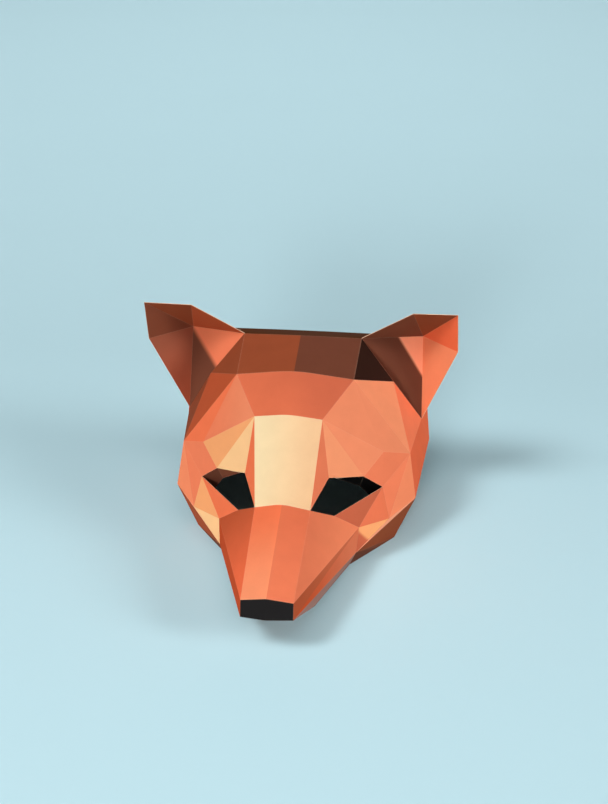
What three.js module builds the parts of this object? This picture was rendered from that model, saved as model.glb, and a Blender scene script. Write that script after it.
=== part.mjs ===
// A paper fox mask: a faceted card head with cupped ears, open underneath and behind so that it goes
// over a head. Every panel is a sheet of card folded along the edges of its facets.
import * as THREE from 'three';

// Driving sizes, in millimetres
const EAR_SPAN = 470; // across the outer edges of the two ears
const CARD = 2; // thickness of the card
const SEAM = 0.4; // seam between two neighbouring panels, across flat card
const EAR_SETBACK = 0.9; // how far an ear's standing sheet starts from the head
const LID_SETBACK = 2.6; // how far an eye lid keeps inside its drawn outline

// Weights for placing the inner corners of the card
const DAMPING = 1e-3; // keeps a corner with only one facet well defined
const RIM_WEIGHT = 100; // holds the rim's inner corners on the table

// Corners where the folds meet, for the wearer's left half and the midline.
// out: from the midline, along: towards the back, up: from the table.
const CORNERS = {
  // Nose and snout
  noseTopMid: { out: 0, along: -220, up: 89 },
  noseTop: { out: 36, along: -216, up: 81 },
  noseBottomMid: { out: 0, along: -231, up: 61 },
  noseBottom: { out: 36, along: -224, up: 58 },
  bridgeMid: { out: 0, along: -66, up: 134 },
  muzzleRoot: { out: 105, along: -10, up: 62 },
  mouthCorner: { out: 102, along: -29, up: 29 },
  // Eye hole, and the lid folded in from its upper edges
  eyeFront: { out: 40, along: -62, up: 124 },
  eyeInner: { out: 61, along: -14, up: 149 },
  eyeUpper: { out: 109, along: 16, up: 135 },
  eyeOuter: { out: 136, along: 30, up: 109 },
  eyeLower: { out: 71, along: -31, up: 95 },
  lidUpper: { out: 101, along: 24, up: 110 },
  lidOuter: { out: 121, along: 42, up: 74 },
  // Brow, forehead and crown
  blazeMid: { out: 0, along: 11, up: 236 },
  blazeTop: { out: 49, along: 16, up: 228 },
  browOuter: { out: 135, along: 50, up: 158 },
  crownFrontMid: { out: 0, along: 83, up: 267 },
  crownFront: { out: 87, along: 92, up: 253 },
  crownRidgeMid: { out: 0, along: 161, up: 286 },
  crownRidge: { out: 90, along: 183, up: 274 },
  crownBackMid: { out: 0, along: 221, up: 264 },
  // Side of the head and cheek
  temple: { out: 141, along: 158, up: 216 },
  cheekTop: { out: 173, along: 81, up: 138 },
  cheekMid: { out: 148, along: 13, up: 65 },
  cheekSide: { out: 184, along: 63, up: 70 },
  flankBack: { out: 198, along: 212, up: 84 },
  // Ear
  earBase: { out: 185, along: 183, up: 138 },
  earBack: { out: 181, along: 231, up: 258 },
  earTop: { out: 167, along: 169, up: 325 },
  earTip: { out: 232, along: 144, up: 338 },
  earEdge: { out: 235, along: 162, up: 269 },
  // Jaw, and the rim that stands on the table
  jawEdgeMid: { out: 0, along: -153, up: 26 },
  jawEdge: { out: 56, along: -153, up: 26 },
  chinMid: { out: 0, along: -21, up: 0 },
  chin: { out: 92, along: -21, up: 0 },
  rimFront: { out: 134, along: 30, up: 0 },
  rimSide: { out: 154, along: 55, up: 0 },
  rimBack: { out: 164, along: 185, up: 0 },
};
const SCALE = EAR_SPAN / (2 * CORNERS.earEdge.out);

// Card colours
const CARDS = {
  cream: { color: 0xfbd9a4, roughness: 0.75 },
  apricot: { color: 0xf6ad74, roughness: 0.75 },
  orange: { color: 0xee7d50, roughness: 0.75 },
  rust: { color: 0xc65d3a, roughness: 0.75 },
  brown: { color: 0x8a4630, roughness: 0.75 },
  umber: { color: 0x4a2a1c, roughness: 0.75 },
  black: { color: 0x222122, roughness: 0.6 },
};

// Panels. Each facet names its corners anticlockwise as seen from the side that shows.
// mid: the panel runs across the midline as one sheet; otherwise there is one on each side.
// layer: panels of one layer are mitred to each other, and the others stand on them.
// setback: how far the panel draws back from its seams, half a seam if not given.
// loose: the panel draws back all round, from its free edges too.
const PANELS = [
  {
    name: 'nose', card: 'black', layer: 'shell', mid: true,
    facets: ['noseTopMid noseBottomMid noseBottom noseTop'],
  },
  {
    name: 'snout_top', card: 'orange', layer: 'shell', mid: true,
    facets: ['noseTopMid noseTop eyeFront bridgeMid'],
  },
  {
    name: 'snout_side', card: 'orange', layer: 'shell',
    facets: ['noseTop eyeLower eyeFront', 'noseTop muzzleRoot eyeLower'],
  },
  {
    name: 'snout_lower', card: 'rust', layer: 'shell',
    facets: ['noseTop noseBottom muzzleRoot', 'noseBottom mouthCorner muzzleRoot'],
  },
  {
    name: 'jaw_front', card: 'brown', layer: 'shell',
    facets: ['noseBottom jawEdge mouthCorner', 'jawEdge chin mouthCorner'],
  },
  {
    name: 'jaw_bottom', card: 'brown', layer: 'shell', mid: true,
    facets: ['noseBottomMid jawEdgeMid jawEdge noseBottom', 'jawEdgeMid chinMid chin jawEdge'],
  },
  {
    name: 'jaw_side', card: 'brown', layer: 'shell',
    facets: [
      'mouthCorner chin rimFront', 'mouthCorner rimFront rimSide', 'mouthCorner rimSide cheekSide',
      'cheekSide rimSide rimBack', 'cheekSide rimBack flankBack',
    ],
  },
  {
    name: 'cheek', card: 'orange', layer: 'shell',
    facets: [
      'eyeLower muzzleRoot eyeOuter', 'eyeOuter muzzleRoot cheekMid', 'muzzleRoot mouthCorner cheekMid',
      'mouthCorner cheekSide cheekMid', 'eyeOuter cheekMid cheekTop', 'cheekTop cheekMid cheekSide',
    ],
  },
  {
    name: 'blaze', card: 'cream', layer: 'shell', mid: true,
    facets: ['bridgeMid eyeFront blazeTop blazeMid'],
  },
  {
    name: 'brow', card: 'apricot', layer: 'shell',
    facets: [
      'blazeTop eyeFront eyeInner', 'blazeTop eyeInner eyeUpper', 'blazeTop eyeUpper browOuter',
      'browOuter eyeUpper eyeOuter', 'browOuter eyeOuter cheekTop',
    ],
  },
  {
    name: 'forehead', card: 'rust', layer: 'shell', mid: true,
    facets: ['blazeMid blazeTop crownFront crownFrontMid'],
  },
  {
    name: 'crown', card: 'brown', layer: 'shell', mid: true,
    facets: ['crownFrontMid crownFront crownRidge crownRidgeMid'],
  },
  {
    name: 'crown_back', card: 'umber', layer: 'shell', mid: true,
    facets: ['crownRidgeMid crownRidge crownBackMid', 'crownRidge earBack crownBackMid'],
  },
  {
    name: 'temple', card: 'orange', layer: 'shell',
    facets: [
      'blazeTop browOuter crownFront', 'crownFront browOuter cheekTop', 'crownFront cheekTop temple',
    ],
  },
  {
    name: 'head_side', card: 'brown', layer: 'shell',
    facets: [
      'crownFront temple crownRidge', 'crownRidge temple earBase', 'temple cheekTop earBase',
    ],
  },
  {
    name: 'flank', card: 'orange', layer: 'shell',
    facets: [
      'cheekTop cheekSide flankBack', 'cheekTop flankBack earBase', 'earBase flankBack earBack',
    ],
  },
  {
    name: 'ear_root', card: 'brown', layer: 'shell',
    facets: ['crownRidge earBase earBack'],
  },
  {
    name: 'ear', card: 'rust', layer: 'ear', setback: EAR_SETBACK,
    facets: [
      'crownRidge earBack earTop', 'earTop earBack earTip',
      'earBack earEdge earTip', 'earBack earBase earEdge',
    ],
  },
  {
    name: 'eye_lid', card: 'umber', layer: 'lid', setback: LID_SETBACK, loose: true,
    facets: ['eyeInner lidUpper eyeUpper', 'eyeUpper lidUpper lidOuter eyeOuter'],
  },
];
const SIDES = [
  { suffix: '_left', sign: 1 },
  { suffix: '_right', sign: -1 },
];

// Places of all corners on both sides, by key; a midline corner has one key for both sides
const places = new Map();

function cornerKey(name, sign) {
  return CORNERS[name].out === 0 ? name : name + (sign > 0 ? '.left' : '.right');
}

for (const [name, { out, along, up }] of Object.entries(CORNERS)) {
  for (const { sign } of SIDES) {
    places.set(cornerKey(name, sign), new THREE.Vector3(sign * out, along, up).multiplyScalar(SCALE));
  }
}

// Triangles of a panel on one side, fanned from each facet's first corner
function facetTriangles(panel, sign) {
  const triangles = [];
  for (const facet of panel.facets) {
    const keys = facet.split(' ').map((name) => cornerKey(name, sign));
    for (let i = 2; i < keys.length; i += 1) {
      const [a, b, c] = [keys[0], keys[i - 1], keys[i]];
      triangles.push(sign > 0 ? [a, b, c] : [a, c, b]);
    }
  }
  return triangles;
}

// The sheets to cut: one for a panel across the midline, otherwise a left and a right one
function sheetsOf(panel) {
  if (panel.mid) {
    const triangles = SIDES.flatMap(({ sign }) => facetTriangles(panel, sign));
    return [{ ...panel, triangles }];
  }
  return SIDES.map(({ suffix, sign }) => ({
    ...panel,
    name: panel.name + suffix,
    triangles: facetTriangles(panel, sign),
  }));
}

function triangleNormal([a, b, c]) {
  const corner = places.get(a);
  const first = places.get(b).clone().sub(corner);
  const second = places.get(c).clone().sub(corner);
  return first.cross(second).normalize();
}

function triangleEdges([a, b, c]) {
  return [[a, b], [b, c], [c, a]];
}

function edgeKey([a, b]) {
  return a < b ? `${a} ${b}` : `${b} ${a}`;
}

// The step that comes nearest to the wished distance along each wished direction
function solveStep(wishes) {
  const sums = [DAMPING, 0, 0, 0, DAMPING, 0, 0, 0, DAMPING];
  const target = new THREE.Vector3();
  for (const { direction, distance, weight = 1 } of wishes) {
    const parts = direction.toArray();
    for (let i = 0; i < sums.length; i += 1) {
      sums[i] += weight * parts[Math.floor(i / 3)] * parts[i % 3];
    }
    target.addScaledVector(direction, weight * distance);
  }
  return target.applyMatrix3(new THREE.Matrix3(...sums).invert());
}

function addTo(map, key, value) {
  if (!map.has(key)) map.set(key, []);
  map.get(key).push(value);
}

// Step from each corner of a layer to the inner face of its card, mitred between the facets there
function innerSteps(sheets) {
  const wishes = new Map();
  for (const triangle of sheets.flatMap((sheet) => sheet.triangles)) {
    const direction = triangleNormal(triangle);
    for (const key of triangle) addTo(wishes, key, { direction, distance: -CARD });
  }
  const upwards = new THREE.Vector3(0, 0, 1);
  for (const [key, list] of wishes) {
    if (places.get(key).z === 0) list.push({ direction: upwards, distance: 0, weight: RIM_WEIGHT });
  }
  return new Map([...wishes].map(([key, list]) => [key, solveStep(list)]));
}

// Edges of a sheet that only one of its triangles has, in the triangles' own direction
function outlineOf(sheet) {
  const uses = new Map();
  for (const triangle of sheet.triangles) {
    for (const edge of triangleEdges(triangle)) addTo(uses, edgeKey(edge), { edge, triangle });
  }
  return [...uses.values()].filter((list) => list.length === 1).map(([use]) => use);
}

// Step that draws each outline corner of a sheet back from its seams, within the card
function seamSteps(sheet, outline, sheetsByEdge) {
  const wishes = new Map();
  for (const triangle of sheet.triangles) {
    const direction = triangleNormal(triangle);
    for (const key of triangle) addTo(wishes, key, { direction, distance: 0 });
  }
  for (const { edge, triangle } of outline) {
    const run = places.get(edge[1]).clone().sub(places.get(edge[0])).normalize();
    const direction = triangleNormal(triangle).cross(run);
    const meets = sheetsByEdge.get(edgeKey(edge)).size > 1;
    const distance = meets || sheet.loose ? sheet.setback ?? SEAM / 2 : 0;
    for (const key of edge) addTo(wishes, key, { direction, distance });
  }
  const outlineKeys = new Set(outline.flatMap(({ edge }) => edge));
  return new Map([...outlineKeys].map((key) => [key, solveStep(wishes.get(key))]));
}

// One closed body of card: the face that shows, the inner face and the cut edges
function sheetGeometry(sheet, steps, sheetsByEdge) {
  const outline = outlineOf(sheet);
  const seams = seamSteps(sheet, outline, sheetsByEdge);
  const keys = [...new Set(sheet.triangles.flat())];
  const outer = new Map(keys.map((key, i) => [key, i]));
  const inner = new Map(keys.map((key, i) => [key, i + keys.length]));
  const shown = keys.map((key) => places.get(key).clone().add(seams.get(key) ?? new THREE.Vector3()));
  const hidden = keys.map((key, i) => shown[i].clone().add(steps.get(key)));
  const index = [];
  for (const [a, b, c] of sheet.triangles) {
    index.push(outer.get(a), outer.get(b), outer.get(c));
    index.push(inner.get(a), inner.get(c), inner.get(b));
  }
  for (const { edge: [a, b] } of outline) {
    // Both sheets at a seam, and both sides of the mask, split the cut edge along the same diagonal
    if (a < b) {
      index.push(outer.get(a), inner.get(a), inner.get(b), outer.get(a), inner.get(b), outer.get(b));
    } else {
      index.push(outer.get(a), inner.get(a), outer.get(b), inner.get(a), inner.get(b), outer.get(b));
    }
  }
  const geometry = new THREE.BufferGeometry().setFromPoints([...shown, ...hidden]);
  geometry.setIndex(index);
  return geometry;
}

function buildMask() {
  const sheets = PANELS.flatMap(sheetsOf);
  const sheetsByEdge = new Map();
  for (const sheet of sheets) {
    for (const edge of sheet.triangles.flatMap(triangleEdges)) {
      const key = edgeKey(edge);
      if (!sheetsByEdge.has(key)) sheetsByEdge.set(key, new Set());
      sheetsByEdge.get(key).add(sheet.name);
    }
  }
  const mask = new THREE.Group();
  for (const layer of new Set(sheets.map((sheet) => sheet.layer))) {
    const inLayer = sheets.filter((sheet) => sheet.layer === layer);
    const steps = innerSteps(inLayer);
    for (const sheet of inLayer) {
      const finish = { ...CARDS[sheet.card], metalness: 0, flatShading: true };
      const material = new THREE.MeshStandardMaterial(finish);
      const mesh = new THREE.Mesh(sheetGeometry(sheet, steps, sheetsByEdge), material);
      mesh.name = sheet.name;
      mask.add(mesh);
    }
  }
  return mask;
}

export default buildMask();
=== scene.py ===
"""Looks of the paper fox mask: folded card with a print, with light and shade painted into its tones facet
by facet, on a plain pale floor, in soft studio light.
"""
import logging
import math
from dataclasses import dataclass, field
from enum import Enum

import bmesh
import bpy
from mathutils import Matrix, Vector


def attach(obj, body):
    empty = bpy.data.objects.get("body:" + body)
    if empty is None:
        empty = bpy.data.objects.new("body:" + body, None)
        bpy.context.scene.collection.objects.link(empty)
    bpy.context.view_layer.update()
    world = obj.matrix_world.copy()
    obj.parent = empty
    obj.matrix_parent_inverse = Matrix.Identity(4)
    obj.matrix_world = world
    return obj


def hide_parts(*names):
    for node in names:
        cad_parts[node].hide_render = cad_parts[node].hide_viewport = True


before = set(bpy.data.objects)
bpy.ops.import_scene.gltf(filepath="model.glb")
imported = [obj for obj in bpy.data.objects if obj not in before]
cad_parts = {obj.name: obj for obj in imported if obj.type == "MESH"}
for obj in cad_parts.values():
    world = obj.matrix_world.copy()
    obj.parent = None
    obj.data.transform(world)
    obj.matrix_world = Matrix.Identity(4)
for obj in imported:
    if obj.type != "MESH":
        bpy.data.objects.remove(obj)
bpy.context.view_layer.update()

BODY = "root"
MASK = "mask"
log = logging.getLogger("fox_mask")

# Card sizes, in metres
CAD_CARD = 0.002  # thickness of the CAD walls
CARD = 0.0008  # thickness of the card that shows
FOLD_BAND = 0.0009  # width of the band along a fold where the card is bent and the print is worn
CUT_EDGE = 0.016  # triangles with a shorter side than this are cut edges of a sheet
SEAM_REACH = 0.0025  # corners of neighbouring sheets this near are one corner
LID_REACH = 0.0075  # corners of an eye lid this near to the brow hang on it
WELD = 1e-5  # corners of the CAD mesh this near are one
MIDLINE = 1e-4  # corners this near to the plane X = 0 lie on the midline
HEAD_MIDDLE = Vector((0.0, 0.03, 0.08))  # a point inside the head that its panels face away from


class Tone(Enum):
    """Tones of the card, as sRGB hex: partly its print, partly painted light and shade, which makes some
    facets lighter or darker than their twins on the other side and paints cast shadows on a few.
    """

    # Cream and biscuit are painted highlights on the blaze: orange card drawn as if strongly lit.
    CREAM = "d6be95"
    BISCUIT = "d1a77e"
    SAND = "e0af7c"
    APRICOT = "db925f"
    SALMON = "e78a62"
    NECTARINE = "d9855e"
    MELON = "fb9c76"
    PEACH = "d87d59"
    CORAL = "e68059"
    TANGERINE = "f67d56"
    ORANGE = "d9724f"
    FLAME = "eb6942"
    VERMILION = "dd6b45"
    TERRACOTTA = "cb6645"
    CINNAMON = "b75b3f"
    BRICK = "c14820"
    RUST = "ac4d2d"
    COPPER = "8b4429"
    SIENNA = "8e503b"
    CHESTNUT = "78422e"
    BROWN = "663929"
    UMBER = "562b0b"
    # Painted cast shadow: near-black, beside the ear on the wearer's left.
    CAST_SHADOW = "2e1912"
    # Painted shade: orange card drawn grey-pink, as it looks in cool shade under the snout.
    CLAY = "9c7165"
    INK = "1c1a1a"
    # Painted shade: black for an eye lid deep in shadow behind the eye hole.
    PITCH = "050404"


class Run(Enum):
    """Direction in which a painted fade of light and shade changes from one tone to another."""

    LEFTWARDS = (1.0, 0.0, 0.0)
    BACKWARDS = (0.0, 1.0, 0.0)
    UPWARDS = (0.0, 0.0, 1.0)
    UP_AND_LEFT = (1.0, 0.0, 1.0)
    LEFT_AND_UP = (1.0, 0.0, 0.6)
    BACK_AND_LEFT = (1.0, 1.0, 0.0)


@dataclass(frozen=True)
class Fade:
    """Painted light and shade that runs from one tone to another over its facets: gradients of light, and
    on the ear roots and one cheek the edges of painted cast shadows.

    Attributes:
        start: The tone where it starts.
        end: The tone where it ends.
        run: The direction in which it changes.
        first: Share of the way at which it begins to change.
        last: Share of the way at which it is done.
    """

    start: Tone
    end: Tone
    run: Run
    first: float = 0.0
    last: float = 1.0


# One tone or a fade: tones carry print and painted light and shade, fades carry painted light and shade.
PrintAndPaintedLight = Tone | Fade
FaceList = list[bmesh.types.BMFace]


class Facing(Enum):
    """Which side of a sheet shows."""

    OUTWARD = "away from the inside of the head"
    FORWARD = "towards the front"

    def shows(self, normal: Vector, centre: Vector) -> bool:
        """Whether a face with this normal and centre is on the side that shows."""
        if self is Facing.OUTWARD:
            return normal.dot(centre - HEAD_MIDDLE) > 0
        return normal.y < 0


class Order(Enum):
    """How the facets of one half of a panel are counted."""

    OUTWARDS = "from the midline to the side"
    BACKWARDS = "from the nose to the back"

    def place(self, centre: Vector) -> float:
        """Place of a facet with this centre in the count."""
        return abs(centre.x) if self is Order.OUTWARDS else centre.y


class Make(Enum):
    """How a panel is shaped from flat card."""

    TRIANGLES = "flat facets of three corners"
    QUADS = "flat facets of three or four corners"
    ACROSS = "one sheet across the midline, with a soft fold there"


class Seat(Enum):
    """What the corners of a sheet meet."""

    SHELL = "the neighbouring panels of the head"
    ON_SHELL = "the outside of the head, which it stands on"
    UNDER_SHELL = "the inside of the head, which it hangs from"


@dataclass(frozen=True)
class Panel:
    """A panel of card, and the print and painted light and shade on its facets.

    Attributes:
        name: Name of the CAD node, without its side.
        left: Tone or fade of each facet on the wearer's left, in the panel's order, with its painted light
            and shade.
        right: Tone or fade of each facet on the wearer's right, in the same order, with its painted light
            and shade.
        order: How the facets are counted.
        make: How it is shaped.
        facing: Which side of the card shows.
        seat: What its corners meet.
        behind: Tone of the print on the other side, where that side shows too.
    """

    name: str
    left: tuple[PrintAndPaintedLight, ...]
    right: tuple[PrintAndPaintedLight, ...]
    order: Order = Order.OUTWARDS
    make: Make = Make.TRIANGLES
    facing: Facing = Facing.OUTWARD
    seat: Seat = Seat.SHELL
    behind: Tone | None = None

    @property
    def nodes(self) -> tuple[str, ...]:
        """Names of the CAD nodes that are cut from this panel."""
        if self.make is Make.ACROSS:
            return (self.name,)
        return (f"{self.name}_left", f"{self.name}_right")


@dataclass
class Sheet:
    """One CAD sheet, taken apart into corners and facets.

    Attributes:
        node: Name of the CAD node.
        panel: The panel that it is cut from.
        outer: Corners of the face that shows.
        inner: The matching corners of the hidden face.
        facets: Corner numbers of each facet, anticlockwise from the side that shows.
    """

    SAME_PLANE = 0.07  # radians between the two halves of one flat facet

    node: str
    panel: Panel
    outer: list[Vector] = field(default_factory=list)
    inner: list[Vector] = field(default_factory=list)
    facets: list[list[int]] = field(default_factory=list)

    def read(self) -> "Sheet":
        """Reads the corners and facets from the CAD node.

        Returns:
            The sheet itself.
        """
        cad = bmesh.new()
        cad.from_mesh(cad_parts[self.node].data)
        bmesh.ops.remove_doubles(cad, verts=cad.verts, dist=WELD)
        cad.normal_update()
        shown, hidden = self.broad_faces(cad)
        backs = [vert.co.copy() for vert in dict.fromkeys(vert for face in hidden for vert in face.verts)]
        if self.panel.make is not Make.TRIANGLES:
            bmesh.ops.dissolve_edges(cad, edges=self.diagonals(cad, shown), use_verts=False)
            shown, _ = self.broad_faces(cad)
        numbers: dict[bmesh.types.BMVert, int] = {}
        for face in sorted(shown, key=lambda face: self.panel.order.place(face.calc_center_median())):
            for vert in face.verts:
                numbers.setdefault(vert, len(numbers))
            self.facets.append([numbers[vert] for vert in face.verts])
        self.outer = [vert.co.copy() for vert in numbers]
        self.inner = [min(backs, key=lambda point: (point - corner).length) for corner in self.outer]
        cad.free()
        return self

    def broad_faces(self, cad: bmesh.types.BMesh) -> tuple[FaceList, FaceList]:
        """Sorts the faces of the CAD node, leaving out its cut edges.

        Args:
            cad: The CAD node's mesh.

        Returns:
            The faces on the side that shows, and those on the other side.
        """
        shown, hidden = [], []
        for face in cad.faces:
            if min(edge.calc_length() for edge in face.edges) > CUT_EDGE:
                shows = self.panel.facing.shows(face.normal, face.calc_center_median())
                (shown if shows else hidden).append(face)
        return shown, hidden

    def diagonals(self, cad: bmesh.types.BMesh, shown: FaceList) -> list[bmesh.types.BMEdge]:
        """Finds the edges that only split a flat facet in two.

        Args:
            cad: The CAD node's mesh.
            shown: Its faces that show.

        Returns:
            Edges between two showing triangles that lie in one plane, on one side of the midline.
        """
        found = []
        for edge in cad.edges:
            if len(edge.link_faces) != 2 or any(face not in shown for face in edge.link_faces):
                continue
            one, other = edge.link_faces
            same_side = one.calc_center_median().x * other.calc_center_median().x > 0
            if same_side and one.normal.angle(other.normal) < self.SAME_PLANE:
                found.append(edge)
        return found

    def facet_centre(self, facet: list[int]) -> Vector:
        """Middle of a facet's corners."""
        return sum((self.outer[number] for number in facet), Vector()) / len(facet)

    def facet_print_and_painted_light(self) -> list[PrintAndPaintedLight]:
        """Picks the tone or fade of each facet: its print and painted light and shade.

        Returns:
            One tone or fade for each facet, in the sheet's own order of facets.
        """
        columns = {True: list(self.panel.left), False: list(self.panel.right)}
        return [columns[self.facet_centre(facet).x > 0].pop(0) for facet in self.facets]


class CardShell:
    """All sheets of the mask, with the corners that neighbours share."""

    def __init__(self, panels: list[Panel]) -> None:
        """Reads every sheet and closes the seams between them.

        Args:
            panels: All panels of the mask.
        """
        self.sheets = {node: Sheet(node, panel).read() for panel in panels for node in panel.nodes}
        shell = [sheet for sheet in self.sheets.values() if sheet.panel.seat is Seat.SHELL]
        outer = [corner for sheet in shell for corner in sheet.outer]
        inner = [corner for sheet in shell for corner in sheet.inner]
        for sheet in self.sheets.values():
            seat = sheet.panel.seat
            steps = self.card_steps(sheet.outer, sheet.inner)
            reach = LID_REACH if seat is Seat.UNDER_SHELL else SEAM_REACH
            sheet.outer = [self.meet(corner, outer, reach) for corner in sheet.outer]
            if seat is Seat.SHELL:
                backs = [self.meet(corner, inner, SEAM_REACH) for corner in sheet.inner]
                steps = self.card_steps(sheet.outer, backs)
            if seat is Seat.UNDER_SHELL:
                sheet.outer = [corner + step for corner, step in zip(sheet.outer, steps)]
            sheet.inner = [corner + step for corner, step in zip(sheet.outer, steps)]

    @staticmethod
    def card_steps(fronts: list[Vector], backs: list[Vector]) -> list[Vector]:
        """Works out the steps through the card that shows.

        Args:
            fronts: Corners on the face that shows.
            backs: The matching corners on the far face of the CAD wall.

        Returns:
            The step from each front corner to the other face of the card.
        """
        return [(back - front) * (CARD / CAD_CARD) for front, back in zip(fronts, backs)]

    @staticmethod
    def meet(corner: Vector, others: list[Vector], reach: float) -> Vector:
        """Finds the place where a corner meets those near it.

        Args:
            corner: The corner as cut.
            others: Corners that it may meet.
            reach: How near they have to be.

        Returns:
            The middle of the corners in reach, or the corner itself where there is none.
        """
        near = [other for other in others if (other - corner).length < reach]
        return sum(near, Vector()) / len(near) if near else corner.copy()


Level = float | bpy.types.NodeSocket  # a fixed number, or a value that changes over the surface


class NodeGroups:
    """Shader node groups that the card finishes share, each made once."""

    FIBRE = "Card fibre"
    WEAR = "Fold wear"
    NOISE_RANGE = (0.3, 0.7)  # limits that most of a noise lies between
    # Noises, each with its features per metre and its octaves of finer noise
    CLOUDS = (38.0, 2.0)
    GRAIN = (900.0, 4.0)
    HAIRS = (2600.0, 2.0)
    SCUFFS = (420.0, 3.0)
    GRAIN_TINT = (0.985, 1.015)  # how far the grain darkens and brightens the print
    SCUFF_SHARE = (0.25, 1.0)  # least and most of the wear that the scuffs leave
    WEAR_POWER = 2.0  # draws the wear in towards the fold

    @staticmethod
    def start(
        name: str, inputs: dict[str, float], outputs: list[str]
    ) -> tuple[bpy.types.NodeTree, bpy.types.Node, bpy.types.Node]:
        """Makes an empty group with value sockets.

        Args:
            name: Name of the group.
            inputs: Input names and their usual values.
            outputs: Output names.

        Returns:
            The group's tree, its input node and its output node.
        """
        tree = bpy.data.node_groups.new(name, "ShaderNodeTree")
        for label, value in inputs.items():
            socket = tree.interface.new_socket(label, in_out="INPUT", socket_type="NodeSocketFloat")
            socket.default_value = value
        for label in outputs:
            tree.interface.new_socket(label, in_out="OUTPUT", socket_type="NodeSocketFloat")
        return tree, tree.nodes.new("NodeGroupInput"), tree.nodes.new("NodeGroupOutput")

    @staticmethod
    def place(
        tree: bpy.types.NodeTree, group: bpy.types.NodeTree, values: dict[str, float]
    ) -> bpy.types.Node:
        """Places a group in a material.

        Args:
            tree: The material's tree.
            group: The group.
            values: The material's own values for its inputs.

        Returns:
            The group's node.
        """
        node = tree.nodes.new("ShaderNodeGroup")
        node.node_tree = group
        for label, value in values.items():
            node.inputs[label].default_value = value
        return node

    @staticmethod
    def feed(tree: bpy.types.NodeTree, socket: bpy.types.NodeSocket, value: Level) -> None:
        """Links an input to a changing value, or sets it to a fixed number.

        Args:
            tree: The tree that it is in.
            socket: The input.
            value: What it gets.
        """
        if isinstance(value, bpy.types.NodeSocket):
            tree.links.new(value, socket)
        else:
            socket.default_value = value

    @staticmethod
    def noise(tree: bpy.types.NodeTree, scale: float, detail: float) -> bpy.types.NodeSocket:
        """Adds solid noise in the mask's own frame.

        Args:
            tree: The tree to add it to.
            scale: Features per metre.
            detail: Octaves of finer noise.

        Returns:
            The noise's value socket.
        """
        place = tree.nodes.new("ShaderNodeTexCoord")
        noise = tree.nodes.new("ShaderNodeTexNoise")
        noise.inputs["Scale"].default_value = scale
        noise.inputs["Detail"].default_value = detail
        tree.links.new(place.outputs["Object"], noise.inputs["Vector"])
        return noise.outputs["Fac"]

    @classmethod
    def remap(
        cls, tree: bpy.types.NodeTree, noise: bpy.types.NodeSocket, low: Level, high: Level
    ) -> bpy.types.NodeSocket:
        """Spreads a noise between two limits.

        Args:
            tree: The tree to add it to.
            noise: The noise's value socket.
            low: What the lower end of the noise becomes.
            high: What the upper end of the noise becomes.

        Returns:
            The spread value's socket.
        """
        node = tree.nodes.new("ShaderNodeMapRange")
        node.inputs["From Min"].default_value, node.inputs["From Max"].default_value = cls.NOISE_RANGE
        tree.links.new(noise, node.inputs["Value"])
        cls.feed(tree, node.inputs["To Min"], low)
        cls.feed(tree, node.inputs["To Max"], high)
        return node.outputs["Result"]

    @classmethod
    def calc(
        cls, tree: bpy.types.NodeTree, operation: str, first: Level, second: Level
    ) -> bpy.types.NodeSocket:
        """Adds one Math node.

        Args:
            tree: The tree to add it to.
            operation: The node's operation.
            first: Its first value.
            second: Its second value.

        Returns:
            The node's value socket.
        """
        node = tree.nodes.new("ShaderNodeMath")
        node.operation = operation
        cls.feed(tree, node.inputs[0], first)
        cls.feed(tree, node.inputs[1], second)
        return node.outputs["Value"]

    @classmethod
    def fibre(cls) -> bpy.types.NodeTree:
        """Paper fibre: slight mottle of the print, fine relief and uneven gloss.

        Returns:
            The group, with outputs Tint, Height and Roughness.
        """
        if cls.FIBRE in bpy.data.node_groups:
            return bpy.data.node_groups[cls.FIBRE]
        inputs = {"Mottle": 0.03, "Roughness": 0.7, "Gloss Change": 0.06}
        tree, given, result = cls.start(cls.FIBRE, inputs, ["Tint", "Height", "Roughness"])
        grain = cls.noise(tree, *cls.GRAIN)
        darker = cls.calc(tree, "SUBTRACT", 1.0, given.outputs["Mottle"])
        brighter = cls.calc(tree, "ADD", 1.0, given.outputs["Mottle"])
        broad = cls.remap(tree, cls.noise(tree, *cls.CLOUDS), darker, brighter)
        fine = cls.remap(tree, grain, *cls.GRAIN_TINT)
        tint = cls.calc(tree, "MULTIPLY", broad, fine)
        height = cls.calc(tree, "ADD", grain, cls.noise(tree, *cls.HAIRS))
        shift = cls.calc(tree, "SUBTRACT", grain, 0.5)
        change = cls.calc(tree, "MULTIPLY", shift, given.outputs["Gloss Change"])
        roughness = cls.calc(tree, "ADD", given.outputs["Roughness"], change)
        for label, value in (("Tint", tint), ("Height", height), ("Roughness", roughness)):
            tree.links.new(value, result.inputs[label])
        return tree

    @classmethod
    def wear(cls) -> bpy.types.NodeTree:
        """Worn print along the folds, broken up by scuffs.

        Returns:
            The group, with output Mask.
        """
        if cls.WEAR in bpy.data.node_groups:
            return bpy.data.node_groups[cls.WEAR]
        tree, given, result = cls.start(cls.WEAR, {"Amount": 0.3}, ["Mask"])
        band = tree.nodes.new("ShaderNodeAttribute")
        band.attribute_name = CardPiece.FOLD
        sharp = cls.calc(tree, "POWER", band.outputs["Fac"], cls.WEAR_POWER)
        broken = cls.remap(tree, cls.noise(tree, *cls.SCUFFS), *cls.SCUFF_SHARE)
        worn = cls.calc(tree, "MULTIPLY", sharp, broken)
        tree.links.new(cls.calc(tree, "MULTIPLY", worn, given.outputs["Amount"]), result.inputs["Mask"])
        return tree


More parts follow.
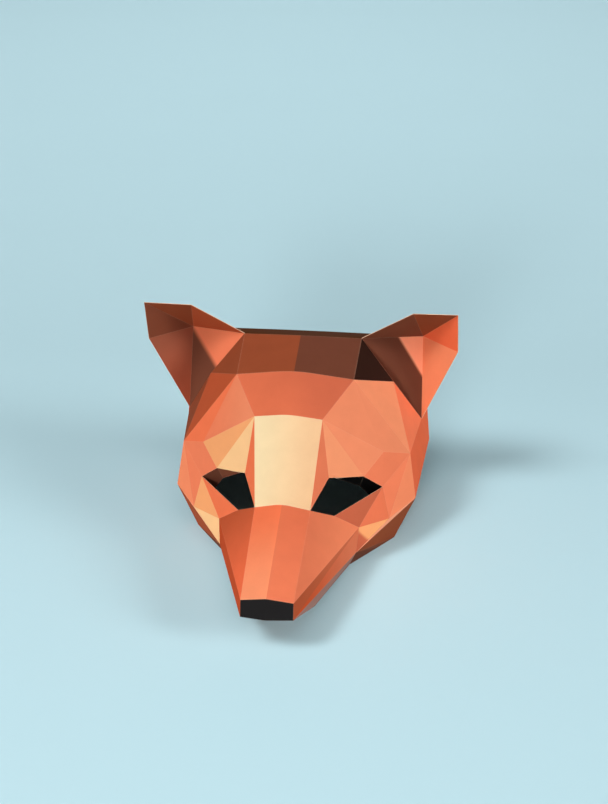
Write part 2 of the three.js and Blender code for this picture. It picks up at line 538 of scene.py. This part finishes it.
def linear(tone: str) -> tuple[float, float, float, float]:
    """Turns an sRGB hex tone into Blender's linear colour.

    Args:
        tone: Six hex digits.

    Returns:
        Red, green, blue and alpha.
    """
    parts = [int(tone[place : place + 2], 16) / 255 for place in (0, 2, 4)]
    red, green, blue = [
        part / 12.92 if part <= 0.04045 else ((part + 0.055) / 1.055) ** 2.4 for part in parts
    ]
    return red, green, blue, 1.0


def mask_collection() -> bpy.types.Collection:
    """The collection that holds the card of the mask, new where there is none."""
    if MASK not in bpy.data.collections:
        bpy.context.scene.collection.children.link(bpy.data.collections.new(MASK))
    return bpy.data.collections[MASK]


@dataclass(frozen=True)
class CardFinish:
    """A finish of the card: its print with painted light and shade, gloss and wear.

    Attributes:
        name: Name of the material.
        tone: Colour of the print with painted light and shade, as sRGB hex.
        end_tone: Colour that a painted fade of light and shade runs to.
        reach: Shares of the way at which a painted fade begins to change and is done.
        gloss: Strength of its reflections.
        roughness: Mean roughness of the surface.
        mottle: How far the print's brightness wanders, either way.
        relief: Strength of the fibre's relief.
        wear: How much of the print is gone at the very fold.
    """

    WORN = "f6dcc0"  # card that shows where the print is worn
    RELIEF_DEPTH = 0.00012  # metres

    name: str
    tone: str
    end_tone: str = ""
    reach: tuple[float, float] = (0.0, 1.0)
    gloss: float = 0.04
    roughness: float = 0.82
    mottle: float = 0.025
    relief: float = 0.12
    wear: float = 0.11

    @classmethod
    def print_and_painted_light(cls, look: PrintAndPaintedLight) -> "CardFinish":
        """Card with its print and painted light and shade.

        Args:
            look: One tone, or a run of two.

        Returns:
            Its finish.
        """
        if isinstance(look, Fade):
            name = f"card_{look.start.name}_to_{look.end.name}".lower()
            return cls(name, look.start.value, look.end.value, (look.first, look.last))
        return cls(f"card_{look.name}".lower(), look.value)

    def material(self) -> bpy.types.Material:
        """Builds the material, or finds it where it is already built.

        Returns:
            The material.
        """
        if self.name in bpy.data.materials:
            return bpy.data.materials[self.name]
        material = bpy.data.materials.new(self.name)
        material.use_nodes = True
        tree = material.node_tree
        shader = tree.nodes["Principled BSDF"]
        shader.inputs["Specular IOR Level"].default_value = self.gloss
        own = {"Mottle": self.mottle, "Roughness": self.roughness}
        fibre = NodeGroups.place(tree, NodeGroups.fibre(), own)
        colour = self.uneven_print_and_painted_light(tree, fibre.outputs["Tint"])
        if self.wear:
            colour = self.worn_print(tree, colour)
        bump = tree.nodes.new("ShaderNodeBump")
        bump.inputs["Strength"].default_value = self.relief
        bump.inputs["Distance"].default_value = self.RELIEF_DEPTH
        tree.links.new(fibre.outputs["Height"], bump.inputs["Height"])
        tree.links.new(colour, shader.inputs["Base Color"])
        tree.links.new(fibre.outputs["Roughness"], shader.inputs["Roughness"])
        tree.links.new(bump.outputs["Normal"], shader.inputs["Normal"])
        return material

    @staticmethod
    def mix(tree: bpy.types.NodeTree) -> bpy.types.Node:
        """Adds a node that mixes two colours."""
        node = tree.nodes.new("ShaderNodeMix")
        node.data_type = "RGBA"
        return node

    def uneven_print_and_painted_light(self, tree: bpy.types.NodeTree, tint: bpy.types.NodeSocket) -> bpy.types.NodeSocket:
        """Colour of the print with painted light and shade, made slightly uneven by the fibre.

        Args:
            tree: The material's tree.
            tint: How bright the print is at each point, about 1.

        Returns:
            The colour's socket.
        """
        print_and_painted_light = self.mix(tree)
        print_and_painted_light.blend_type = "MULTIPLY"
        print_and_painted_light.inputs["Factor"].default_value = 1.0
        print_and_painted_light.inputs["A"].default_value = linear(self.tone)
        if self.end_tone:
            tree.links.new(self.painted_light_fade(tree), print_and_painted_light.inputs["A"])
        tree.links.new(tint, print_and_painted_light.inputs["B"])
        return print_and_painted_light.outputs["Result"]

    def painted_light_fade(self, tree: bpy.types.NodeTree) -> bpy.types.NodeSocket:
        """Painted light and shade that runs from one tone to another.

        Args:
            tree: The material's tree.

        Returns:
            The colour's socket.
        """
        way = tree.nodes.new("ShaderNodeAttribute")
        way.attribute_name = CardPiece.FADE
        share = tree.nodes.new("ShaderNodeMapRange")
        share.interpolation_type = "SMOOTHSTEP"
        share.inputs["From Min"].default_value, share.inputs["From Max"].default_value = self.reach
        ink = self.mix(tree)
        ink.inputs["A"].default_value = linear(self.tone)
        ink.inputs["B"].default_value = linear(self.end_tone)
        tree.links.new(way.outputs["Fac"], share.inputs["Value"])
        tree.links.new(share.outputs["Result"], ink.inputs["Factor"])
        return ink.outputs["Result"]

    def worn_print(self, tree: bpy.types.NodeTree, colour: bpy.types.NodeSocket) -> bpy.types.NodeSocket:
        """Colour of the print and painted light and shade, with bare card showing along the folds.

        Args:
            tree: The material's tree.
            colour: Colour of the whole print with its painted light and shade.

        Returns:
            The colour's socket.
        """
        wear = NodeGroups.place(tree, NodeGroups.wear(), {"Amount": self.wear})
        worn = self.mix(tree)
        worn.inputs["B"].default_value = linear(self.WORN)
        tree.links.new(colour, worn.inputs["A"])
        tree.links.new(wear.outputs["Mask"], worn.inputs["Factor"])
        return worn.outputs["Result"]


# Painted highlight: the blaze is orange card drawn cream as if strongly lit, lightest on the wearer's right
# and darker towards the left.
BLAZE_PAINTED_LIGHT = Fade(Tone.CREAM, Tone.BISCUIT, Run.LEFTWARDS)
# Painted shade: the forehead darkens towards the back and towards the wearer's left.
FOREHEAD_PAINTED_SHADE = Fade(Tone.TERRACOTTA, Tone.CINNAMON, Run.BACK_AND_LEFT, 0.0, 0.8)
INSIDE = CardFinish("card_inside", "655850", roughness=0.85, wear=0.0)
EDGE = CardFinish("card_edge", "e3b596", roughness=0.85, wear=0.0)


@dataclass
class CardPiece:
    """The card that shows for one CAD node.

    Attributes:
        sheet: The sheet that it follows.
        slots: The tones and fades on it, print and painted light and shade, one for each material slot.
        card: Its mesh, while it is built.
        verts: The mesh's vertices, by their places.
        thing: The Blender object, once built.
    """

    FOLD = "fold"  # corner attribute: 1 on a fold or a cut edge, 0 beside it
    FADE = "fade"  # corner attribute: 0 where a painted fade of light and shade starts, 1 where it ends
    SOFT = 0.3  # share of the way from the midline to the side that the soft fold takes
    NOSE_SOFT = 0.08  # the same share at the nose, where the fold is sharper
    NOSE_PLACE = -0.2  # how far along the mask the fold begins to soften
    BRIDGE_PLACE = -0.066  # how far along the mask it is as soft as it gets
    # Steps from the midline to the side of a panel across the midline, and from one end of it to the other
    ACROSS = (0.0, 0.04, 0.08, 0.15, 0.22, 0.3, 0.44, 0.58, 0.72, 0.86, 0.975, 1.0)
    ALONG = (0.0, 0.02, 0.14, 0.26, 0.38, 0.5, 0.62, 0.74, 0.86, 0.98, 1.0)

    DECIMALS = 6  # of a metre, to which two vertices at one place agree

    sheet: Sheet
    slots: list[PrintAndPaintedLight] = field(default_factory=list)
    card: bmesh.types.BMesh = field(default_factory=bmesh.new)
    verts: dict[tuple[float, ...], bmesh.types.BMVert] = field(default_factory=dict)
    thing: bpy.types.Object | None = None

    def build(self) -> bpy.types.Object:
        """Builds the closed sheet of card.

        Returns:
            The object, riding on the mask's body.
        """
        sheet = self.sheet
        name = f"{sheet.node}_card"
        tones_with_painted_light = sheet.facet_print_and_painted_light()
        self.slots = list(dict.fromkeys(tones_with_painted_light))
        lay = self.lay_across if sheet.panel.make is Make.ACROSS else self.lay_flat
        for facet, look in zip(sheet.facets, tones_with_painted_light):
            lay([sheet.outer[number] for number in facet], self.slots.index(look))
            lay([sheet.inner[number] for number in facet[::-1]], len(self.slots))
        self.close_edges()
        self.mark_folds()
        self.mark_fades()
        mesh = bpy.data.meshes.new(name)
        self.card.to_mesh(mesh)
        self.card.free()
        self.thing = bpy.data.objects.new(name, mesh)
        mask_collection().objects.link(self.thing)
        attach(self.thing, BODY)
        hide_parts(sheet.node)
        return self.thing

    def vert(self, point: Vector) -> bmesh.types.BMVert:
        """The vertex at a point, new where there is none."""
        key = tuple(round(part, self.DECIMALS) for part in point)
        if key not in self.verts:
            self.verts[key] = self.card.verts.new(point)
        return self.verts[key]

    def face(self, points: list[Vector], slot: int) -> bmesh.types.BMFace:
        """Adds one face, with corners shared with the faces beside it.

        Args:
            points: Its corners, anticlockwise from outside.
            slot: Its material slot.

        Returns:
            The face.
        """
        face = self.card.faces.new([self.vert(point) for point in points])
        face.material_index = slot
        face.smooth = slot < len(self.slots)
        return face

    def lay_flat(self, corners: list[Vector], slot: int) -> None:
        """Lays a flat facet with a narrow band along its folds.

        Args:
            corners: Its corners.
            slot: Its material slot.
        """
        ring = []
        for before, corner, after in zip(corners[-1:] + corners[:-1], corners, corners[1:] + corners[:1]):
            one, other = (before - corner).normalized(), (after - corner).normalized()
            ring.append(corner + (one + other) * (FOLD_BAND / one.cross(other).length))
        for band in zip(corners, corners[1:] + corners[:1], ring[1:] + ring[:1], ring):
            self.face(list(band), slot)
        self.face(ring, slot)

    def lay_across(self, corners: list[Vector], slot: int) -> None:
        """Lays one half of a panel across the midline.

        Args:
            corners: Its four corners.
            slot: Its material slot.
        """
        for face in self.grid(corners):
            self.face(face, slot)

    def grid(self, corners: list[Vector]) -> list[list[Vector]]:
        """Divides one half of a panel across the midline into narrow faces.

        Args:
            corners: Its four corners.

        Returns:
            The corners of each face.
        """
        middle = [abs(corner.x) < MIDLINE for corner in corners]
        first = next(place for place in range(4) if middle[place] and not middle[place - 3])
        mid_a, side_a, side_b, mid_b = corners[first:] + corners[:first]
        rows = []
        for along in self.ALONG:
            inner, outer = mid_a.lerp(mid_b, along), side_a.lerp(side_b, along)
            rows.append([self.bend(inner, outer, across) for across in self.ACROSS])
        return [
            [row[place], row[place + 1], following[place + 1], following[place]]
            for row, following in zip(rows, rows[1:])
            for place in range(len(row) - 1)
        ]

    @classmethod
    def softness(cls, middle: Vector) -> float:
        """Finds how soft the fold on the midline is.

        Args:
            middle: A point on the midline.

        Returns:
            Share of the way from there to the side that the bend takes.
        """
        way = (middle.y - cls.NOSE_PLACE) / (cls.BRIDGE_PLACE - cls.NOSE_PLACE)
        return cls.NOSE_SOFT + (cls.SOFT - cls.NOSE_SOFT) * min(max(way, 0.0), 1.0)

    @classmethod
    def bend(cls, middle: Vector, side: Vector, across: float) -> Vector:
        """Finds a point between the midline and the side of a panel with a soft fold.

        Args:
            middle: The point on the midline.
            side: The point at the side.
            across: Share of the way from one to the other.

        Returns:
            The point, on a round bend near the midline and on straight card past it.
        """
        soft = cls.softness(middle)
        rise = across**2 / (2 * soft) if across < soft else across - soft / 2
        drop = rise / (1 - soft / 2)
        reach = side - middle
        return middle + Vector((reach.x * across, reach.y * drop, reach.z * drop))

    def edge_points(self, ends: tuple[Vector, Vector]) -> list[Vector]:
        """Points along one edge of the sheet.

        Args:
            ends: The edge's two ends.

        Returns:
            The ends, with the points between them on a panel across the midline.
        """
        start, end = ends
        if self.sheet.panel.make is not Make.ACROSS:
            return [start, end]
        if abs(start.x) < MIDLINE:
            return [self.bend(start, end, across) for across in self.ACROSS]
        if abs(end.x) < MIDLINE:
            return [self.bend(end, start, across) for across in self.ACROSS[::-1]]
        return [start.lerp(end, along) for along in self.ALONG]

    def close_edges(self) -> None:
        """Joins the two faces of the sheet along its outline."""
        sheet = self.sheet
        runs = [run for facet in sheet.facets for run in zip(facet, facet[1:] + facet[:1])]
        for start, end in runs:
            if (end, start) in runs:
                continue
            front = self.edge_points((sheet.outer[start], sheet.outer[end]))
            back = self.edge_points((sheet.inner[start], sheet.inner[end]))
            for place in range(len(front) - 1):
                corners = [front[place + 1], front[place], back[place], back[place + 1]]
                wall = self.face(corners, len(self.slots) + 1)
                for edge in wall.edges:
                    edge.smooth = False

    def mark_folds(self) -> None:
        """Marks the corners of faces that lie on a fold or on a cut edge, but not on a soft bend."""
        fold = self.card.loops.layers.float.new(self.FOLD)
        bent = self.sheet.panel.make is Make.ACROSS
        self.card.normal_update()
        for edge in self.card.edges:
            on_bend = bent and all(face.smooth for face in edge.link_faces)
            if on_bend or edge.calc_face_angle(0.0) < Sheet.SAME_PLANE:
                continue
            for loop in edge.link_loops:
                loop[fold] = 1.0
                loop.link_loop_next[fold] = 1.0

    def mark_fades(self) -> None:
        """Marks how far each painted fade of light and shade has run at the corners of its faces."""
        fade = self.card.loops.layers.float.new(self.FADE)
        for slot, look in enumerate(self.slots):
            if not isinstance(look, Fade):
                continue
            run = Vector(look.run.value)
            loops = [loop for face in self.card.faces if face.material_index == slot for loop in face.loops]
            places = [loop.vert.co.dot(run) for loop in loops]
            first, last = min(places), max(places)
            for loop, place in zip(loops, places):
                loop[fade] = (place - first) / (last - first)

    def dress(self) -> None:
        """Gives the card its print with painted light and shade, its other side and its cut edges."""
        behind = self.sheet.panel.behind
        finishes = [CardFinish.print_and_painted_light(look) for look in self.slots]
        finishes.append(CardFinish.print_and_painted_light(behind) if behind else INSIDE)
        finishes.append(EDGE)
        for finish in finishes:
            self.thing.data.materials.append(finish.material())


@dataclass
class SubAssembly:
    """A part of the mask that is made of several panels."""

    panels: tuple[Panel, ...] = ()
    pieces: list[CardPiece] = field(default_factory=list)

    def build(self, shell: CardShell) -> None:
        """Builds the card of every panel.

        Args:
            shell: The sheets of the whole mask.
        """
        nodes = [node for panel in self.panels for node in panel.nodes]
        self.pieces = [CardPiece(shell.sheets[node]) for node in nodes]
        for piece in self.pieces:
            piece.build()

    def dress(self) -> None:
        """Dresses every panel and reports it."""
        for piece in self.pieces:
            piece.dress()
            log.info("%s: %s", type(self).__name__, piece.thing.name)


@dataclass
class Snout(SubAssembly):
    """The nose and the card round the muzzle."""

    panels: tuple[Panel, ...] = (
        Panel("nose", left=(Tone.INK,), right=(Tone.INK,), make=Make.ACROSS),
        # Painted light: the top is lighter towards the nose, a little different on each side.
        Panel(
            "snout_top",
            left=(Fade(Tone.ORANGE, Tone.TERRACOTTA, Run.BACKWARDS),),
            right=(Fade(Tone.SALMON, Tone.VERMILION, Run.BACKWARDS),),
            make=Make.ACROSS,
        ),
        # Painted light and shade: the wearer's left side lightens outwards, the right side darkens from
        # flame at the nose towards rust at the back.
        Panel(
            "snout_side",
            left=(Fade(Tone.ORANGE, Tone.CORAL, Run.LEFTWARDS),) * 2,
            right=(Fade(Tone.FLAME, Tone.RUST, Run.BACKWARDS, 0.0, 1.15),) * 2,
        ),
        # Painted shade: the lower sides are drawn darker than the top, as shade falls under the snout; on
        # the wearer's left they lighten towards the back.
        Panel(
            "snout_lower",
            left=(
                Fade(Tone.RUST, Tone.TERRACOTTA, Run.BACKWARDS),
                Fade(Tone.BRICK, Tone.ORANGE, Run.BACKWARDS),
            ),
            right=(Tone.BRICK,) * 2,
        ),
    )


@dataclass
class Jaw(SubAssembly):
    """The lower jaw and the card down to the rim."""

    panels: tuple[Panel, ...] = (
        # Painted shade: the jaw is orange card drawn grey-pink in front and brown on its underside and
        # sides, darker than the card above, as shade falls under the snout; the two sides differ.
        Panel("jaw_front", left=(Tone.CLAY,) * 2, right=(Tone.CLAY,) * 2),
        Panel(
            "jaw_bottom",
            left=(Tone.COPPER,) * 2,
            right=(Tone.COPPER,) * 2,
            order=Order.BACKWARDS,
            make=Make.ACROSS,
        ),
        Panel(
            "jaw_side",
            left=(Tone.BROWN, Tone.CHESTNUT, Tone.COPPER, Tone.COPPER, Tone.COPPER),
            right=(Tone.CHESTNUT, Tone.COPPER, Tone.RUST, Tone.COPPER, Tone.COPPER),
        ),
    )


@dataclass
class Face(SubAssembly):
    """The blaze, the brows and the cheeks."""

    panels: tuple[Panel, ...] = (
        Panel("blaze", left=(BLAZE_PAINTED_LIGHT,), right=(BLAZE_PAINTED_LIGHT,), make=Make.ACROSS),
        # Painted light: the wearer's right brow is drawn sand and apricot as if strongly lit, where the
        # left one is orange and peach.
        Panel(
            "brow",
            left=(Tone.ORANGE, Tone.NECTARINE, Tone.PEACH, Tone.ORANGE, Tone.ORANGE),
            right=(Tone.VERMILION, Tone.SAND, Tone.APRICOT, Tone.ORANGE, Tone.ORANGE),
        ),
        # Painted light and shade: the wearer's right cheek is drawn sand and apricot as if lit; on the left
        # a painted shadow of the snout makes the first facet cinnamon and crosses the second with a sharp
        # edge to apricot.
        Panel(
            "cheek",
            left=(
                Tone.CINNAMON,
                Fade(Tone.CINNAMON, Tone.APRICOT, Run.BACKWARDS, 0.33, 0.42),
                Tone.TERRACOTTA,
                Tone.MELON,
                Tone.ORANGE,
                Tone.CORAL,
            ),
            right=(Tone.VERMILION, Tone.SAND, Tone.APRICOT, Tone.MELON, Tone.ORANGE, Tone.CORAL),
        ),
    )


@dataclass
class Crown(SubAssembly):
    """The card over the top of the head."""

    panels: tuple[Panel, ...] = (
        Panel("forehead", left=(FOREHEAD_PAINTED_SHADE,), right=(FOREHEAD_PAINTED_SHADE,), make=Make.ACROSS),
        # The crown's print is brown; the wearer's left half is darker, a painted cast shadow.
        Panel("crown", left=(Tone.BROWN,), right=(Tone.COPPER,), make=Make.ACROSS),
        Panel("crown_back", left=(Tone.UMBER,), right=(Tone.UMBER,), make=Make.ACROSS),
    )


@dataclass
class HeadSides(SubAssembly):
    """The temples, the sides of the head and the flanks below the ears."""

    panels: tuple[Panel, ...] = (
        # Painted light and shade: the wearer's left temple is drawn lit peach and salmon; the right one
        # runs from orange to peach across its front facet and darkens to rust at the back.
        Panel(
            "temple",
            left=(Tone.PEACH, Tone.PEACH, Tone.SALMON),
            right=(Fade(Tone.ORANGE, Tone.PEACH, Run.LEFTWARDS), Tone.VERMILION, Tone.RUST),
            order=Order.BACKWARDS,
        ),
        # Painted light and shade: the head side's print is copper brown; on the wearer's left its first
        # facet is a near-black painted cast shadow beside the ear and its last is drawn lit tangerine.
        Panel(
            "head_side",
            left=(Tone.CAST_SHADOW, Tone.COPPER, Tone.TANGERINE),
            right=(Tone.COPPER, Tone.COPPER, Tone.COPPER),
        ),
        Panel("flank", left=(Tone.FLAME,) * 3, right=(Tone.FLAME,) * 3, order=Order.BACKWARDS),
    )


@dataclass
class Ears(SubAssembly):
    """The cupped ears and the card that closes the head under them."""

    panels: tuple[Panel, ...] = (
        # Painted cast shadows: each ear root is brown and turns with a sharp edge to melon on the wearer's
        # left and orange on the right, the edge of a shadow painted across it.
        Panel(
            "ear_root",
            left=(Fade(Tone.BROWN, Tone.MELON, Run.LEFT_AND_UP, 0.57, 0.63),),
            right=(Fade(Tone.BROWN, Tone.ORANGE, Run.UP_AND_LEFT, 0.49, 0.56),),
            facing=Facing.FORWARD,
        ),
        # Painted light and shade: the outer facets inside the wearer's left ear are drawn lit coral and
        # flame, where on the right they are cinnamon running to sienna towards the top, and chestnut.
        Panel(
            "ear",
            left=(Tone.CHESTNUT, Tone.COPPER, Tone.CORAL, Tone.FLAME),
            right=(Tone.RUST, Tone.COPPER, Fade(Tone.CINNAMON, Tone.SIENNA, Run.UPWARDS), Tone.CHESTNUT),
            facing=Facing.FORWARD,
            seat=Seat.ON_SHELL,
            behind=Tone.RUST,
        ),
    )


@dataclass
class EyeLids(SubAssembly):
    """The flaps folded in behind the upper edges of the eye holes."""

    panels: tuple[Panel, ...] = (
        # Painted shade: the lids are orange card drawn black on the wearer's left and brown on the right,
        # as they sit in shadow behind the eye holes.
        Panel(
            "eye_lid",
            left=(Tone.PITCH,) * 2,
            right=(Tone.CHESTNUT, Tone.BROWN),
            make=Make.QUADS,
            facing=Facing.FORWARD,
            seat=Seat.UNDER_SHELL,
        ),
    )


@dataclass(frozen=True)
class SoftBox:
    """A soft light.

    Attributes:
        name: Name of the light.
        place: Where it stands, in metres.
        size: Its width and height.
        power: Its power, in watts.
        aim: The point that it faces.
        spread: Angle of the cone that it lights, in degrees.
        off_floor: Whether it is kept off the floor and lights the mask alone.
    """

    name: str
    place: tuple[float, float, float]
    size: tuple[float, float]
    power: float
    aim: tuple[float, float, float] = (0.0, 0.0, 0.15)
    spread: float = 180.0
    off_floor: bool = False

    def build(self) -> None:
        """Sets the light up."""
        lamp = bpy.data.lights.new(self.name, "AREA")
        lamp.shape = "RECTANGLE"
        lamp.size, lamp.size_y = self.size
        lamp.energy = self.power
        lamp.spread = math.radians(self.spread)
        thing = bpy.data.objects.new(self.name, lamp)
        thing.visible_camera = False
        thing.location = self.place
        thing.rotation_euler = (Vector(self.aim) - Vector(self.place)).to_track_quat("-Z", "Y").to_euler()
        if self.off_floor:
            thing.light_linking.receiver_collection = mask_collection()
        bpy.context.scene.collection.objects.link(thing)


@dataclass
class Studio:
    """Floor, light and camera.

    Attributes:
        floor_radius: Radius of the round floor, in metres.
        floor_sides: Number of its sides.
        floor_tone: Its colour, as sRGB hex.
        floor_roughness: Its roughness.
        floor_gloss: Strength of its reflections.
        wall_tone: Colour of the plain wall behind it.
        fill_tone: Colour of the even light from all round.
        fill: Strength of that light.
        lights: The soft lights.
        eye: Where the camera stands.
        right: Direction that is to the right in the picture.
        ahead: Direction in which the camera looks.
        focal_pixels: Focal length, in pixels of the frame.
        centre_pixel: Where the camera's axis meets the frame.
    """

    FRAME = (608, 804)  # pixels across and down
    SENSOR = 36.0  # millimetres, along the longer side of the frame

    floor_radius: float = 4.6
    floor_sides: int = 96
    floor_tone: str = "bcdde6"
    floor_roughness: float = 0.9
    floor_gloss: float = 0.1
    wall_tone: str = "cfe4ea"
    fill_tone: str = "f4f6f6"
    fill: float = 0.008
    lights: tuple[SoftBox, ...] = (
        SoftBox("key", (-3.75, -2.6, 6.1), (2.1, 2.1), 300.0),
        SoftBox("side", (6.9, -1.85, 3.45), (2.6, 2.6), 38.0, spread=60.0),
        SoftBox("front", (-0.95, -7.4, 2.25), (1.95, 1.3), 37.0, spread=60.0),
        SoftBox("top", (0.4, -2.6, 5.6), (6.0, 3.0), 112.0, aim=(0.4, -2.6, 0.0)),
        SoftBox("back", (0.9, 7.2, 0.9), (2.8, 1.4), 8.0, spread=60.0, off_floor=True),
        SoftBox("backdrop", (0.0, 0.6, 7.0), (3.0, 1.0), 900.0, aim=(0.0, 4.0, 7.0)),
    )
    eye: Vector = field(default_factory=lambda: Vector((0.2247, -1.4358, 1.1101)))
    right: Vector = field(default_factory=lambda: Vector((0.9913, 0.1307, -0.0185)))
    ahead: Vector = field(default_factory=lambda: Vector((-0.1196, 0.8301, -0.5446)))
    focal_pixels: float = 1200.0
    centre_pixel: tuple[float, float] = (300.0, 460.0)

    def build(self) -> None:
        """Sets the studio up."""
        self.lay_floor()
        self.light()
        self.set_camera()

    def lay_floor(self) -> None:
        """Lays the plain pale floor."""
        mesh = bpy.data.meshes.new("floor")
        disc = bmesh.new()
        bmesh.ops.create_circle(
            disc, cap_ends=True, segments=self.floor_sides, radius=self.floor_radius
        )
        disc.to_mesh(mesh)
        disc.free()
        floor = bpy.data.objects.new("floor", mesh)
        material = bpy.data.materials.new("floor")
        material.use_nodes = True
        shader = material.node_tree.nodes["Principled BSDF"]
        shader.inputs["Base Color"].default_value = linear(self.floor_tone)
        shader.inputs["Roughness"].default_value = self.floor_roughness
        shader.inputs["Specular IOR Level"].default_value = self.floor_gloss
        mesh.materials.append(material)
        bpy.context.scene.collection.objects.link(floor)

    def light(self) -> None:
        """Sets the soft boxes, a faint even fill and the plain wall that the camera sees."""
        for soft_box in self.lights:
            soft_box.build()
        world = bpy.data.worlds.new("studio")
        world.use_nodes = True
        nodes, links = world.node_tree.nodes, world.node_tree.links
        fill = nodes["Background"]
        fill.inputs["Color"].default_value = linear(self.fill_tone)
        fill.inputs["Strength"].default_value = self.fill
        wall = nodes.new("ShaderNodeBackground")
        wall.inputs["Color"].default_value = linear(self.wall_tone)
        rays = nodes.new("ShaderNodeLightPath")
        seen = nodes.new("ShaderNodeMixShader")
        links.new(rays.outputs["Is Camera Ray"], seen.inputs["Fac"])
        links.new(fill.outputs["Background"], seen.inputs[1])
        links.new(wall.outputs["Background"], seen.inputs[2])
        links.new(seen.outputs["Shader"], nodes["World Output"].inputs["Surface"])
        bpy.context.scene.world = world
        bpy.context.scene.view_settings.view_transform = "Standard"

    def set_camera(self) -> None:
        """Sets the camera at the photograph's viewing angle."""
        width, height = self.FRAME
        camera = bpy.data.cameras.new("camera")
        camera.sensor_width = self.SENSOR
        camera.lens = self.focal_pixels * self.SENSOR / height
        camera.shift_x = (width / 2 - self.centre_pixel[0]) / height
        camera.shift_y = (self.centre_pixel[1] - height / 2) / height
        back = -self.ahead.normalized()
        up = back.cross(self.right).normalized()
        turn = Matrix((up.cross(back), up, back)).transposed()
        thing = bpy.data.objects.new("camera", camera)
        thing.matrix_world = Matrix.Translation(self.eye) @ turn.to_4x4()
        bpy.context.scene.collection.objects.link(thing)
        bpy.context.scene.camera = thing


def main() -> None:
    """Builds the studio and the mask."""
    logging.basicConfig(level=logging.INFO, format="%(name)s %(message)s")
    Studio().build()
    parts = [Snout(), Jaw(), Face(), Crown(), HeadSides(), Ears(), EyeLids()]
    shell = CardShell([panel for part in parts for panel in part.panels])
    for part in parts:
        part.build(shell)
        part.dress()


if __name__ == "__main__":
    main()
